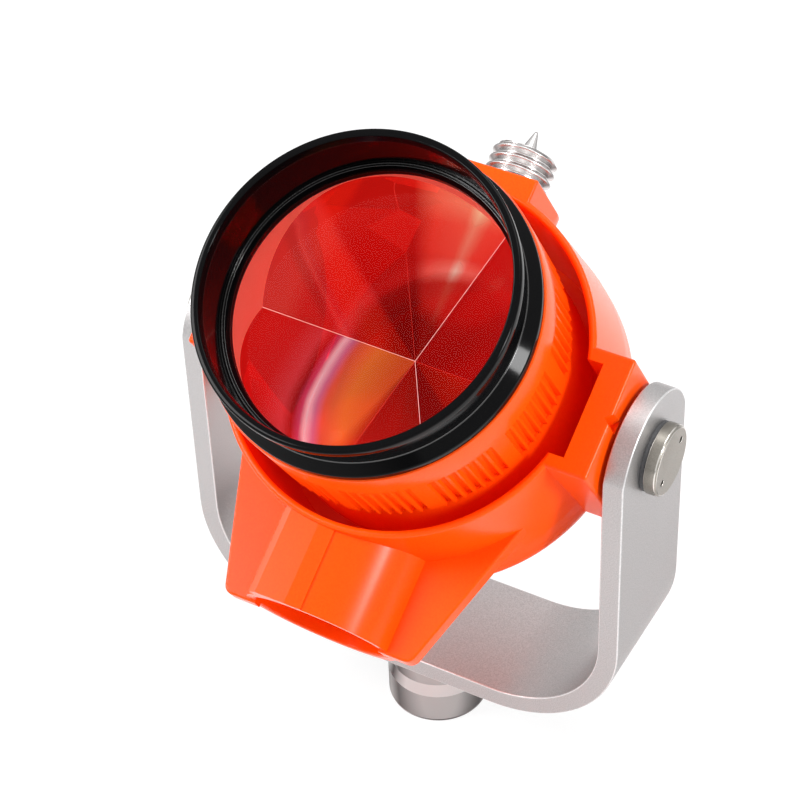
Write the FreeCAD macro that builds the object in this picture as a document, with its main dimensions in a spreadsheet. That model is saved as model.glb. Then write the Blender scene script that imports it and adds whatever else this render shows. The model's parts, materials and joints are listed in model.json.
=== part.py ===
import FreeCAD, Part
import math
import os
import re

import Sketcher

# Survey prism: a corner-cube reflector in a tilting holder, carried by a bent metal yoke.
#
# The row frame has +Z up and its origin at the centre of the base bushing's bottom face.
# +X runs along the tilt axis, and -Y is the side that the prism looks towards.
#
# The yoke's pieces are drawn in that frame. The holder and the prism are drawn in the
# instrument frame, which has its origin on the tilt axis: X along the tilt axis, Y up through
# the stud, and Z forward along the optical axis. tilted() turns them to the rest angle.

DIMENSIONS = [
    # yoke: a flat bar bent to a U, with a threaded bushing in its base
    ("tilt", 58.3, "optical axis above the horizontal at rest, degrees"),
    ("bar_thick", 5.0, "thickness of the bent bar"),
    ("bar_width", 32.5, "width of the bent bar"),
    ("bend_radius", 28.0, "inner radius of the two bends"),
    ("arm_end_wall", 9.2, "metal between the hole in an arm and the arm's top"),
    ("arm_end_extra", 0.65, "radius of an arm's round end, beyond half the bar's width"),
    ("base_clearance", 8.33, "from the swinging black ring down to the base"),
    ("bush_height", 21.7, "base bushing, below the bar"),
    ("bush_band_low", 9.2, "height where the bushing starts to taper"),
    ("bush_band_high", 12.7, "height where the taper ends"),
    ("bush_edge", 0.9, "bevel round the bushing's bottom"),
    ("bush_neck_wall", 3.91, "wall of the bushing under the bar"),
    ("bush_step", 0.75, "bushing's foot wider than its neck"),
    ("spigot_radius", 4.4, "bushing's spigot, riveted through the bar"),
    ("thread_radius", 7.94, "half the major diameter of a 5/8 inch thread"),
    ("thread_roof", 4.7, "solid metal between the threaded hole and the bar"),
    # tilt pivot
    ("shoulder_radius", 4.0, "plain part of the pivot screw"),
    ("arm_bush_wall", 2.0, "from the shoulder to the hole in the arm"),
    ("screw_radius", 3.0, "threaded part of the pivot screw"),
    ("cap_overhang", 4.4, "cap beyond the shoulder"),
    ("cap_thick", 3.1, "pivot screw's cap"),
    ("cap_bevel", 0.5, "bevel round the cap's outer face"),
    ("pin_hole_radius", 0.8, "spanner holes in the cap"),
    ("pin_hole_inset", 3.0, "spanner holes from the cap's edge"),
    ("pin_hole_depth", 1.8, "spanner holes"),
    ("pin_hole_turn", -2.7, "spanner holes' line to the depth direction, degrees"),
    ("washer_inset", 0.2, "outer washer, inside the cap's edge"),
    ("washer_thick", 1.0, "outer washer, between cap and arm"),
    ("friction_thick", 1.05, "gap between holder and arm, which the friction washer fills"),
    ("friction_width", 5.0, "friction washer, beyond the hole in the arm"),
    ("insert_wall", 1.8, "brass insert for the pivot screw"),
    ("insert_inset", 0.5, "insert's end short of the block's inner face"),
    ("screw_end_gap", 0.4, "screw's end short of the insert's end"),
    # holder
    ("ring_front", 19.6, "front rim of the cup"),
    ("cup_gap", 3.3, "between the canister and the cup"),
    ("rim_wall", 1.7, "cup's wall at its front rim"),
    ("cup_wall", 3.2, "cup's wall behind the rim"),
    ("cup_flare_end", 6.0, "depth where the outside stops widening"),
    ("cup_round", 7.5, "rounding round the cup's rear"),
    ("cup_draft", 1.0, "cup's inside, narrower at its floor"),
    ("floor_thick", 3.0, "cup's rear wall"),
    ("hub_wall", 3.0, "wall round the threaded insert"),
    ("block_width", 5.7, "side blocks, beyond the cup"),
    ("block_half", 14.4, "half the height of a side block"),
    ("block_back", 13.2, "side blocks, behind the tilt axis"),
    ("block_wall", 6.5, "side blocks' outer wall"),
    ("pocket_half", 11.2, "half the height of a side block's pocket"),
    ("pocket_back", 8.0, "side pockets, behind the tilt axis"),
    ("notch_half", 1.5, "half the width of the sighting notch"),
    ("notch_depth", 1.5, "sighting notch"),
    ("notch_length", 6.0, "sighting notch, from the block's front"),
    ("boss_half", 12.8, "half the width of the top boss"),
    ("boss_height", 2.0, "top boss, above the cup"),
    ("socket_bore", 16.1, "socket tube, inside"),
    ("socket_wall", 2.0, "socket tube"),
    ("socket_length", 17.5, "socket tube, beyond the cup"),
    ("socket_floor", 1.5, "socket's bore stops short of the cup"),
    ("panel_left", 12.2, "squared side of the socket, left of the middle"),
    ("panel_right", 1.25, "squared side of the socket, right of the middle"),
    ("panel_flat", 2.65, "squared side's flat face ends left of the middle"),
    ("panel_corner", 2.2, "bevel on the squared side"),
    ("panel_step", 0.7, "squared side's flat face, beyond the tube"),
    ("panel_fall", 0.35, "squared side's right edge, behind its flat face"),
    ("web_foot", 5.8, "web's lower corners, beyond the socket tube"),
    ("web_inset", 5.0, "web's upper corners, inside the cup's width"),
    ("web_drop", 0.6, "web's lower edge, beyond the socket's mouth"),
    ("web_front", 3.0, "web's front face"),
    ("web_thick", 4.0, "web"),
    ("web_corner", 2.5, "rounding of the web's lower corners"),
    ("edge_round", 0.8, "rounding of the moulding's outer edges"),
    ("fine_round", 0.5, "rounding of its finer edges"),
    # stud on the top boss
    ("stud_neck_step", 1.14, "stud's neck, thinner than its thread"),
    ("stud_neck_length", 2.5, "stud, from the boss to its thread"),
    ("stud_thread_length", 8.8, "stud's thread"),
    ("stud_bevel", 1.0, "bevel at the end of the thread"),
    ("point_radius", 2.0, "centring point at its foot"),
    ("point_tip_radius", 0.5, "centring point at its tip"),
    ("point_length", 5.8, "centring point"),
    ("anchor_width", 2.7, "stud's moulded-in flange, beyond its neck"),
    ("anchor_cover", 1.3, "plastic between the flange and the cup's inside"),
    ("anchor_thick", 2.2, "stud's moulded-in flange"),
    # canister
    ("can_rise", 2.05, "canister's front face, in front of the glass"),
    ("can_wall", 2.95, "canister's wall"),
    ("grip_depth", 0.8, "grip, beyond the canister's wall"),
    ("grip_draft", 0.35, "canister's front, wider than the grip's rear end"),
    ("grip_inset", 0.35, "grip's rear end, inside the cup's rim"),
    ("can_bevel", 7.0, "bevel round the canister's rear"),
    ("apex_gap", 1.95, "canister's floor behind the glass's apex"),
    ("can_floor", 2.0, "canister's rear wall"),
    ("stub_radius", 12.0, "threaded stub on the canister's rear"),
    ("stub_length", 6.0, "threaded stub"),
    ("stub_gap", 0.4, "stub's end short of the cup's floor"),
    ("seat_ring_thick", 1.0, "rubber ring under the canister's shoulder"),
    ("seat_ring_width", 5.5, "rubber ring"),
    ("thread_insert_wall", 4.0, "threaded insert in the holder's hub"),
    # glass and what holds it
    ("glass_radius", 33.0, "corner cube"),
    ("glass_front", 42.95, "corner cube's front face"),
    ("glass_rim", 3.33, "corner cube's edge in front of its facets, at the thinnest"),
    ("glass_bevel", 0.6, "bevel round the front face"),
    ("cube_turn", 65.0, "one ridge's direction round the optical axis, degrees"),
    ("glass_gap", 0.9, "round the glass"),
    ("lug_reach", 6.0, "support lugs and pads, under the glass"),
    ("lug_width", 10.0, "support lugs"),
    ("lug_foot", 9.0, "support lugs, below their sloping face"),
    ("pad_thick", 1.2, "rubber pads between the lugs and the glass"),
    ("shade_length", 14.0, "black ring, in front of the canister"),
    ("lip_thick", 2.2, "black ring's front lip"),
    ("lip_step", 1.1, "front lip, beyond the neck"),
    ("neck_wall", 1.1, "black ring's wall between lip and flange"),
    ("mouth_step", 0.4, "black ring's inside, wider at its front edge"),
    ("flange_inset", 0.4, "black ring's flange, inside the canister's edge"),
    ("flange_thick", 2.1, "black ring's flange"),
    ("ring_thread_wall", 1.3, "black ring's threaded part"),
    ("ring_thread_length", 6.2, "black ring's thread"),
    ("gasket_thick", 0.3, "gasket on the glass"),
    ("retainer_lip", 0.8, "retaining ring, over the glass's edge"),
    ("retainer_length", 2.6, "retaining ring"),
    ("seal_length", 1.6, "seal round the glass"),
    ("seal_inset", 1.0, "seal, from the black ring's rear end"),
    # fits
    ("running", 0.05, "radial clearance of parts that turn in each other"),
    ("seated", 0.03, "clearance of parts that are pressed or screwed home"),
    ("face_gap", 0.04, "clearance of faces that slide on each other"),
]

# Sizes that follow from the dimensions, each written once. bound() puts them into expressions.
DERIVED = {
    # round the optical axis, from the glass outwards
    "ring_bore": "glass_radius + glass_gap",
    "retainer_bore": "glass_radius - retainer_lip",
    "ring_thread_radius": "ring_bore + ring_thread_wall",
    "ring_neck_radius": "ring_bore + neck_wall",
    "ring_lip_radius": "ring_neck_radius + lip_step",
    "waist_radius": "ring_bore + can_wall",
    "grip_radius": "waist_radius + grip_depth",
    "can_radius": "grip_radius + grip_draft",
    "bore_radius": "can_radius + cup_gap",
    "cup_radius": "bore_radius + cup_wall",
    "can_back_radius": "waist_radius - can_bevel",
    "hub_bore": "stub_radius + running + thread_insert_wall + seated",
    # along the optical axis
    "apex": "glass_front - glass_rim - sqrt(2) * glass_radius",
    "can_front": "glass_front + can_rise",
    "ring_lip_front": "can_front + shade_length",
    "can_back": "can_floor + apex_gap - apex",
    "cup_floor": "can_back + stub_length + stub_gap",
    "cup_back": "cup_floor + floor_thick",
    "hub_face": "can_back + seat_ring_thick",
    "grip_end": "ring_front - grip_inset",
    # along the tilt axis
    "block_reach": "cup_radius + block_width",
    "arm_inside": "block_reach + friction_thick",
    "arm_outside": "arm_inside + bar_thick",
    "arm_hole_radius": "shoulder_radius + arm_bush_wall",
    "arm_round": "bar_width / 2 + arm_end_extra",
    "cap_radius": "shoulder_radius + cap_overhang",
    "insert_radius": "screw_radius + insert_wall",
    "insert_end": "block_reach - block_wall + insert_inset",
    "under_cap": "arm_outside + washer_thick + face_gap",
    "cap_face": "under_cap + cap_thick",
    # up the stud's axis, and down the socket's
    "boss_top": "cup_radius + boss_height",
    "stud_neck_radius": "thread_radius - stud_neck_step",
    "stud_neck_top": "boss_top + stud_neck_length",
    "stud_top": "stud_neck_top + stud_thread_length",
    "point_top": "stud_top + point_length",
    "anchor_radius": "stud_neck_radius + anchor_width",
    "anchor_low": "bore_radius + anchor_cover",
    "anchor_top": "anchor_low + anchor_thick",
    "socket_radius": "socket_bore + socket_wall",
    "socket_end": "cup_radius + socket_length",
    "web_end": "socket_end + web_drop",
    # heights above the bushing's bottom face
    "swing": "sqrt(ring_lip_radius ^ 2 + ring_lip_front ^ 2)",
    "base_under": "bush_height",
    "base_floor": "base_under + bar_thick",
    "pivot_height": "base_floor + swing + base_clearance",
    "arm_top": "pivot_height + arm_hole_radius + arm_end_wall",
    "arm_shoulder": "arm_top - arm_round + sqrt(arm_round ^ 2 - (bar_width / 2) ^ 2)",
    "bush_neck_radius": "thread_radius + bush_neck_wall",
    "bush_radius": "bush_neck_radius + bush_step",
    # glass supports
    "lug_inner": "glass_radius - lug_reach",
    "lug_outer": "glass_radius - glass_bevel",
    "pad_drop": "pad_thick * sqrt(3 / 2)",
}

ALIASES = [row[0] for row in DIMENSIONS]
AXIS_X = FreeCAD.Vector(1, 0, 0)
SIDES = {"right": 1, "left": -1}

doc = FreeCAD.newDocument("survey_prism")
parts = []


def make_sheet():
    """Write the driving dimensions into a spreadsheet, one named cell each."""
    table = doc.addObject("Spreadsheet::Sheet", "size")
    for row, (alias, value, note) in enumerate(DIMENSIONS, start=1):
        table.set("A%d" % row, alias)
        table.set("B%d" % row, str(value))
        table.set("C%d" % row, note)
        table.setAlias("B%d" % row, alias)
    doc.recompute()
    return table


def bound(text):
    """Turn a formula of dimension names into an expression on the spreadsheet."""
    def expand(word):
        name = word.group()
        if name in DERIVED:
            return "(" + bound(DERIVED[name]) + ")"
        return "size." + name if name in ALIASES else name
    return re.sub(r"[a-z_]+", expand, text)


def origin_plane(body, role):
    """Return the body's own origin plane with this role."""
    for feature in body.Origin.OriginFeatures:
        if feature.Role == role:
            return feature
    raise ValueError("no plane " + role)


def origin_axis(body, role):
    """Return a link to the body's own origin axis with this role."""
    return (origin_plane(body, role), [""])


def new_body(label):
    """Start a named sub-part."""
    body = doc.addObject("PartDesign::Body", label)
    body.Label = label
    parts.append(body)
    return body


def new_sketch(body, plane, height="0", turn=None):
    """Attach a sketch to an origin plane, moved along its normal and turned about its upright."""
    sketch = body.newObject("Sketcher::SketchObject", body.Label + "_sketch")
    sketch.AttachmentSupport = [(origin_plane(body, plane), "")]
    sketch.MapMode = "FlatFace"
    sketch.setExpression("AttachmentOffset.Base.z", bound(height))
    if turn:
        sketch.AttachmentOffset = FreeCAD.Placement(
            FreeCAD.Vector(), FreeCAD.Rotation(FreeCAD.Vector(0, 1, 0), 10))
        sketch.setExpression("AttachmentOffset.Rotation.Angle", bound(turn))
    return sketch


def now(item, text):
    """Return what a formula comes to with the sheet's present values."""
    return float(item.evalExpression(bound(text)))


def place(sketch, across, upward):
    """Return the point of a sketch that two formulas give."""
    return FreeCAD.Vector(now(sketch, across), now(sketch, upward), 0)


def pin_point(sketch, line, point, across, upward):
    """Hold one point of the sketch by its two distances from the origin."""
    for kind, text in (("DistanceX", across), ("DistanceY", upward)):
        distance = Sketcher.Constraint(kind, -1, 1, line, point, now(sketch, text))
        sketch.setExpression("Constraints[%d]" % sketch.addConstraint(distance), bound(text))


def draw_lines(sketch, corners):
    """Draw a chain of straight lines through corners given as pairs of formulas."""
    places = [place(sketch, across, upward) for across, upward in corners]
    for start, end in zip(places, places[1:]):
        sketch.addGeometry(Part.LineSegment(start, end))
    for i in range(len(corners) - 2):
        sketch.addConstraint(Sketcher.Constraint("Coincident", i, 2, i + 1, 1))
    for i, (across, upward) in enumerate(corners[:-1]):
        pin_point(sketch, i, 1, across, upward)


def draw_outline(sketch, corners):
    """Draw a closed outline of straight lines through corners given as pairs of formulas."""
    draw_lines(sketch, corners + corners[:1])
    sketch.addConstraint(Sketcher.Constraint("Coincident", len(corners) - 1, 2, 0, 1))


def draw_around_arc(sketch, half, foot, top, radius):
    """Draw the outline of what lies above the foot and outside an arc that crowns at the top."""
    last_line = 4
    draw_lines(sketch, [
        (half, foot), ("2 * " + half, foot), ("2 * " + half, top + " + 1"),
        ("-2 * " + half, top + " + 1"), ("-2 * " + half, foot), ("-" + half, foot)])
    pin_point(sketch, last_line, 2, "-" + half, foot)
    centre = place(sketch, "0", top + " - " + radius)
    end = place(sketch, half, foot)
    lift = math.atan2(end.y - centre.y, end.x)
    ring = Part.Circle(centre, FreeCAD.Vector(0, 0, 1), now(sketch, radius))
    arc = sketch.addGeometry(Part.ArcOfCircle(ring, lift, math.pi - lift))
    sketch.addConstraint(Sketcher.Constraint("Coincident", arc, 1, 0, 1))
    sketch.addConstraint(Sketcher.Constraint("Coincident", arc, 2, last_line, 2))
    bond = sketch.addConstraint(Sketcher.Constraint("Radius", arc, now(sketch, radius)))
    sketch.setExpression("Constraints[%d]" % bond, bound(radius))


def draw_circle(sketch, across, upward, radius):
    """Draw a circle with its centre and radius given as formulas."""
    ring = Part.Circle(place(sketch, across, upward), FreeCAD.Vector(0, 0, 1), now(sketch, radius))
    index = sketch.addGeometry(ring)
    pin_point(sketch, index, 3, across, upward)
    bond = sketch.addConstraint(Sketcher.Constraint("Radius", index, now(sketch, radius)))
    sketch.setExpression("Constraints[%d]" % bond, bound(radius))


def check_change(body, before, sign):
    """Stop if the last feature did not add to the body (sign 1) or cut it (sign -1)."""
    doc.recompute()
    if (body.Shape.Volume - before) * sign <= 0:
        raise ValueError("%s: %s changed nothing" % (body.Label, body.Tip.Name))


def volume_of(body):
    """Return the body's volume, or nothing while it is still empty."""
    return 0.0 if body.Shape.isNull() else body.Shape.Volume


def turn_section(body, direction, corners, cut=False):
    """Revolve an outline about an axis: X takes (x, r) corners, Y takes (r, y), Z takes (r, z)."""
    before = volume_of(body)
    plane = "XZ_Plane" if direction == "Z" else "XY_Plane"
    sketch = new_sketch(body, plane)
    draw_outline(sketch, corners)
    kind = "PartDesign::Groove" if cut else "PartDesign::Revolution"
    feature = body.newObject(kind, body.Label + "_turn")
    feature.Profile = sketch
    feature.ReferenceAxis = (sketch, ["H_Axis" if direction == "X" else "V_Axis"])
    feature.Angle = 360
    check_change(body, before, -1 if cut else 1)


def extrude(body, sketch, length, cut=False, both_ways=False):
    """Pad a sketch along its normal, or pocket it the other way."""
    before = volume_of(body)
    feature = body.newObject("PartDesign::Pocket" if cut else "PartDesign::Pad", body.Label + "_pad")
    feature.Profile = sketch
    feature.setExpression("Length", bound(length))
    if both_ways:
        feature.SideType = "Symmetric"
    check_change(body, before, -1 if cut else 1)
    return feature


def around(body, feature, count, sign):
    """Repeat a feature evenly about the body's Z axis."""
    before = volume_of(body)
    pattern = body.newObject("PartDesign::PolarPattern", body.Label + "_around")
    pattern.Originals = [feature]
    pattern.Axis = origin_axis(body, "Z_Axis")
    pattern.Angle = 360
    pattern.Occurrences = count
    body.Tip = pattern
    check_change(body, before, sign)


def edges_along(body, direction, inside):
    """Name the straight edges along x or y whose two ends both pass the test."""
    names = []
    for number, edge in enumerate(body.Shape.Edges, start=1):
        ends = [vertex.Point for vertex in edge.Vertexes]
        other = "y" if direction == "x" else "x"
        straight = len(ends) == 2 and abs(getattr(ends[0], other) - getattr(ends[1], other)) < 0.01
        if straight and abs(ends[0].z - ends[1].z) < 0.01 and all(inside(point) for point in ends):
            names.append("Edge%d" % number)
    return names


def round_edges(body, radius, names):
    """Fillet the named edges of the body."""
    base = body.Tip
    fillet = body.newObject("PartDesign::Fillet", body.Label + "_round")
    fillet.Base = (base, names)
    fillet.setExpression("Radius", bound(radius))
    doc.recompute()
    if "Invalid" in fillet.State:
        raise ValueError(body.Label + ": rounding failed")


def is_at(value, target):
    """Tell whether a coordinate is at the target."""
    return abs(value - target) < 0.02


def soften(body, radius, chosen):
    """Fillet the edges whose end points all pass the test."""
    names = [
        "Edge%d" % number for number, edge in enumerate(body.Shape.Edges, start=1)
        if all(chosen(vertex.Point) for vertex in edge.Vertexes)]
    round_edges(body, radius, names)


def corner_box(half_width, low, high):
    """Return the corners of an upright rectangle about the middle line."""
    return [("-(%s)" % half_width, low), (half_width, low), (half_width, high),
            ("-(%s)" % half_width, high)]


def at_pivot(body):
    """Lift a piece that was drawn about the tilt axis to the height of that axis."""
    body.setExpression("Placement.Base.z", bound("pivot_height"))


def tilted(body):
    """Place a piece of the instrument frame: on the tilt axis, at the rest angle."""
    body.Placement = FreeCAD.Placement(FreeCAD.Vector(), FreeCAD.Rotation(AXIS_X, 30))
    body.setExpression("Placement.Base.z", bound("pivot_height"))
    body.setExpression("Placement.Rotation.Angle", bound("90 - tilt"))


def mirrored_x(side, corners):
    """Flip the first formula of each corner for the left side."""
    return [("%d * (%s)" % (SIDES[side], x), r) for x, r in corners]


# ---------------------------------------------------------------- yoke

def yoke_bracket():
    """Flat bar bent to a U, with round arm ends, two pivot holes and a hole for the bushing."""
    body = new_body("yoke_bracket")
    section = new_sketch(body, "XZ_Plane")
    draw_outline(section, [
        ("arm_outside", "arm_top"), ("arm_outside", "base_under"),
        ("-arm_outside", "base_under"), ("-arm_outside", "arm_top"),
        ("-arm_inside", "arm_top"), ("-arm_inside", "base_floor"),
        ("arm_inside", "base_floor"), ("arm_inside", "arm_top")])
    extrude(body, section, "bar_width", both_ways=True)

    bounds = body.Shape.BoundBox
    bend_names = edges_along(body, "y", lambda p: p.z < bounds.ZMax - 1 and abs(p.x) < bounds.XMax - 1)
    round_edges(body, "bend_radius", bend_names)
    bend_names = edges_along(body, "y", lambda p: p.z < bounds.ZMin + 0.01)
    round_edges(body, "bend_radius + bar_thick", bend_names)
    ends = new_sketch(body, "YZ_Plane")
    draw_around_arc(ends, "bar_width / 2", "arm_shoulder", "arm_top", "arm_round")
    extrude(body, ends, "2 * arm_outside + bar_thick", cut=True, both_ways=True)

    holes = new_sketch(body, "YZ_Plane")
    draw_circle(holes, "0", "pivot_height", "arm_hole_radius")
    extrude(body, holes, "2 * arm_outside + bar_thick", cut=True, both_ways=True)
    seat = new_sketch(body, "XY_Plane", "base_floor")
    draw_circle(seat, "0", "0", "spigot_radius + seated")
    extrude(body, seat, "2 * bar_thick", cut=True)


def base_bushing():
    """Turned bushing with a blind 5/8 inch thread, its spigot riveted flush through the bar."""
    body = new_body("base_bushing")
    turn_section(body, "Z", [
        ("thread_radius", "0"),
        ("bush_radius - bush_edge", "0"),
        ("bush_radius", "bush_edge"),
        ("bush_radius", "bush_band_low"),
        ("bush_neck_radius", "bush_band_high"),
        ("bush_neck_radius", "base_under"),
        ("spigot_radius", "base_under"),
        ("spigot_radius", "base_floor"),
        ("0", "base_floor"),
        ("0", "base_under - thread_roof"),
        ("thread_radius", "base_under - thread_roof")])


def pivot_bush(side):
    """Plain bush in an arm, in which the pivot screw's shoulder turns."""
    body = new_body("pivot_bush_" + side)
    turn_section(body, "X", mirrored_x(side, [
        ("arm_inside", "shoulder_radius + running"),
        ("arm_inside", "arm_hole_radius - seated"),
        ("arm_outside", "arm_hole_radius - seated"),
        ("arm_outside", "shoulder_radius + running")]))
    at_pivot(body)


def outer_washer(side):
    """Dark washer between an arm and the pivot screw's cap."""
    body = new_body("outer_washer_" + side)
    turn_section(body, "X", mirrored_x(side, [
        ("arm_outside", "shoulder_radius + running"),
        ("arm_outside", "cap_radius - washer_inset"),
        ("arm_outside + washer_thick", "cap_radius - washer_inset"),
        ("arm_outside + washer_thick", "shoulder_radius + running")]))
    at_pivot(body)


def friction_washer(side):
    """Washer that fills the gap between an arm and the holder's side block."""
    body = new_body("friction_washer_" + side)
    turn_section(body, "X", mirrored_x(side, [
        ("block_reach + face_gap", "shoulder_radius + running"),
        ("block_reach + face_gap", "arm_hole_radius + friction_width"),
        ("arm_inside", "arm_hole_radius + friction_width"),
        ("arm_inside", "shoulder_radius + running")]))
    at_pivot(body)


# ---------------------------------------------------------------- holder

def holder_shell():
    """One moulding: cup, side blocks, top boss, web and socket."""
    body = new_body("holder_shell")
    turn_section(body, "Z", [
        ("0", "ring_front"), ("bore_radius + rim_wall", "ring_front"),
        ("cup_radius", "-cup_flare_end"), ("cup_radius", "-cup_back"), ("0", "-cup_back")])
    bounds = body.Shape.BoundBox
    rear = [number for number, edge in enumerate(body.Shape.Edges, start=1)
            if edge.BoundBox.ZMax < bounds.ZMin + 0.01 and edge.BoundBox.XMax > bounds.XMax - 0.01]
    round_edges(body, "cup_round", ["Edge%d" % number for number in rear])

    blocks = new_sketch(body, "XY_Plane", "-block_back")
    draw_outline(blocks, corner_box("block_reach", "-block_half", "block_half"))
    extrude(body, blocks, "ring_front + block_back")
    web = new_sketch(body, "XY_Plane", "web_front - web_thick")
    low_half = "(socket_radius + web_foot)"
    high_half = "(cup_radius - web_inset)"
    draw_outline(web, [
        ("-" + low_half, "-web_end"), (low_half, "-web_end"),
        (high_half, "-block_half"), ("-" + high_half, "-block_half")])
    extrude(body, web, "web_thick")
    web_low = now(body, "-web_end")
    soften(body, "web_corner", lambda p: is_at(p.y, web_low) and p.x > 0)
    soften(body, "web_corner", lambda p: is_at(p.y, web_low) and p.x < 0)

    boss_front = new_sketch(body, "XZ_Plane", "-boss_top")
    draw_outline(boss_front, corner_box("boss_half", "0", "ring_front"))
    extrude(body, boss_front, "boss_top / 2")
    boss_back = new_sketch(body, "XZ_Plane", "-boss_top")
    draw_circle(boss_back, "0", "0", "boss_half")
    extrude(body, boss_back, "boss_top / 2")

    tube = new_sketch(body, "XZ_Plane", "cup_radius / 2")
    draw_circle(tube, "0", "0", "socket_radius")
    extrude(body, tube, "socket_end - cup_radius / 2")
    panel = new_sketch(body, "XZ_Plane", "cup_radius / 2")
    face = "socket_radius + panel_step"
    draw_outline(panel, [
        ("-panel_left", "0"), ("panel_right", "0"), ("panel_right", face + " - panel_fall"),
        ("-panel_flat", face),
        ("panel_corner - panel_left", face), ("-panel_left", face + " - panel_corner")])
    extrude(body, panel, "socket_end - cup_radius / 2")

    turn_section(body, "Z", [
        ("0", "ring_front + 1"), ("bore_radius", "ring_front + 1"), ("bore_radius", "ring_front"),
        ("bore_radius - cup_draft", "-cup_floor"), ("hub_bore + hub_wall", "-cup_floor"),
        ("hub_bore + hub_wall", "-hub_face"), ("hub_bore", "-hub_face"),
        ("hub_bore", "-cup_floor"), ("0", "-cup_floor")], cut=True)
    pockets = new_sketch(body, "XY_Plane", "ring_front")
    draw_outline(pockets, corner_box("block_reach - block_wall", "-pocket_half", "pocket_half"))
    extrude(body, pockets, "ring_front + pocket_back", cut=True)
    socket = new_sketch(body, "XZ_Plane", "web_end + 1")
    draw_circle(socket, "0", "0", "socket_bore")
    extrude(body, socket, "web_end + 1 - cup_radius - socket_floor", cut=True)
    inserts = new_sketch(body, "YZ_Plane")
    draw_circle(inserts, "0", "0", "insert_radius + seated")
    extrude(body, inserts, "2 * block_reach + 2", cut=True, both_ways=True)

    for side in SIDES:
        notch = new_sketch(body, "XY_Plane", "ring_front")
        draw_outline(notch, mirrored_x(side, [
            ("block_reach + notch_depth", "-2 * notch_half"),
            ("block_reach + notch_depth", "2 * notch_half"),
            ("block_reach - notch_depth", "0")]))
        extrude(body, notch, "notch_length", cut=True)

    turn_section(body, "Y", [
        ("0", "anchor_low"), ("anchor_radius", "anchor_low"), ("anchor_radius", "anchor_top"),
        ("stud_neck_radius", "anchor_top"), ("stud_neck_radius", "boss_top + 1"),
        ("0", "boss_top + 1")], cut=True)
    soften_holder(body)
    tilted(body)


def soften_holder(body):
    """Round the moulding's outer edges: blocks, boss, rim, web, and the socket's mouth."""
    front = now(body, "ring_front")
    reach = now(body, "block_reach")
    half = now(body, "block_half")
    soften(body, "edge_round", lambda p: is_at(abs(p.x), reach) and is_at(abs(p.y), half))
    soften(body, "edge_round", lambda p: is_at(abs(p.x), reach) and is_at(p.z, front))

    boss_half = now(body, "boss_half")
    boss_top = now(body, "boss_top")
    soften(body, "edge_round", lambda p: (
        is_at(p.z, front) and p.y > boss_half and abs(p.x) < boss_half + 0.1))
    soften(body, "fine_round", lambda p: is_at(p.y, boss_top) and is_at(abs(p.x), boss_half))

    rim = now(body, "bore_radius + rim_wall")
    bore = now(body, "bore_radius")
    soften(body, "edge_round", lambda p: is_at(p.z, front) and is_at(math.hypot(p.x, p.y), rim))
    soften(body, "edge_round", lambda p: is_at(p.z, front) and is_at(math.hypot(p.x, p.y), bore))

    web = now(body, "web_front")
    corner = now(body, "web_corner - web_end")
    mouth = now(body, "-socket_end")
    inside = now(body, "socket_bore")
    soften(body, "fine_round", lambda p: (
        is_at(p.z, web) and p.y < corner + 0.1 and not is_at(p.y, mouth)))
    soften(body, "fine_round", lambda p: is_at(p.y, mouth) and is_at(math.hypot(p.x, p.z), inside))


def top_stud():
    """Turned stud with a 5/8 inch thread and a centring point, moulded into the top boss."""
    body = new_body("top_stud")
    turn_section(body, "Y", [
        ("0", "anchor_low"),
        ("anchor_radius", "anchor_low"),
        ("anchor_radius", "anchor_top"),
        ("stud_neck_radius", "anchor_top"),
        ("stud_neck_radius", "stud_neck_top"),
        ("thread_radius", "stud_neck_top"),
        ("thread_radius", "stud_top - stud_bevel"),
        ("thread_radius - stud_bevel", "stud_top"),
        ("point_radius", "stud_top"),
        ("point_tip_radius", "point_top"),
        ("0", "point_top")])
    tilted(body)


def pivot_screw(side):
    """Shouldered screw with a round cap and two spanner holes, fixed in the holder."""
    body = new_body("pivot_screw_" + side)
    turn_section(body, "X", mirrored_x(side, [
        ("insert_end + screw_end_gap", "0"),
        ("insert_end + screw_end_gap", "screw_radius"),
        ("block_reach", "screw_radius"),
        ("block_reach", "shoulder_radius"),
        ("under_cap", "shoulder_radius"),
        ("under_cap", "cap_radius"),
        ("cap_face - cap_bevel", "cap_radius"),
        ("cap_face", "cap_radius - cap_bevel"),
        ("cap_face", "0")]))
    # a pocket runs towards -X, so on the left it starts at the bottom of the hole
    start = "cap_face" if side == "right" else "pin_hole_depth - cap_face"
    circle = "(cap_radius - pin_hole_inset)"
    for sign in (1, -1):
        along = "%d * %s * cos(pin_hole_turn * 1 deg)" % (sign, circle)
        up = "%d * %s * sin(pin_hole_turn * 1 deg)" % (sign, circle)
        hole = new_sketch(body, "YZ_Plane", start)
        draw_circle(hole, along, up, "pin_hole_radius")
        extrude(body, hole, "pin_hole_depth", cut=True)
    tilted(body)


def pivot_insert(side):
    """Brass insert moulded into a side block, which takes the pivot screw."""
    body = new_body("pivot_insert_" + side)
    turn_section(body, "X", mirrored_x(side, [
        ("insert_end", "screw_radius + seated"),
        ("insert_end", "insert_radius"),
        ("block_reach", "insert_radius"),
        ("block_reach", "screw_radius + seated")]))
    tilted(body)


def thread_insert():
    """Threaded ring in the holder's hub, into which the canister screws."""
    body = new_body("thread_insert")
    inside = "stub_radius + running"
    turn_section(body, "Z", [
        (inside, "-cup_floor"), (inside + " + thread_insert_wall", "-cup_floor"),
        (inside + " + thread_insert_wall", "-hub_face"), (inside, "-hub_face")])
    tilted(body)


# ---------------------------------------------------------------- prism

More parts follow.
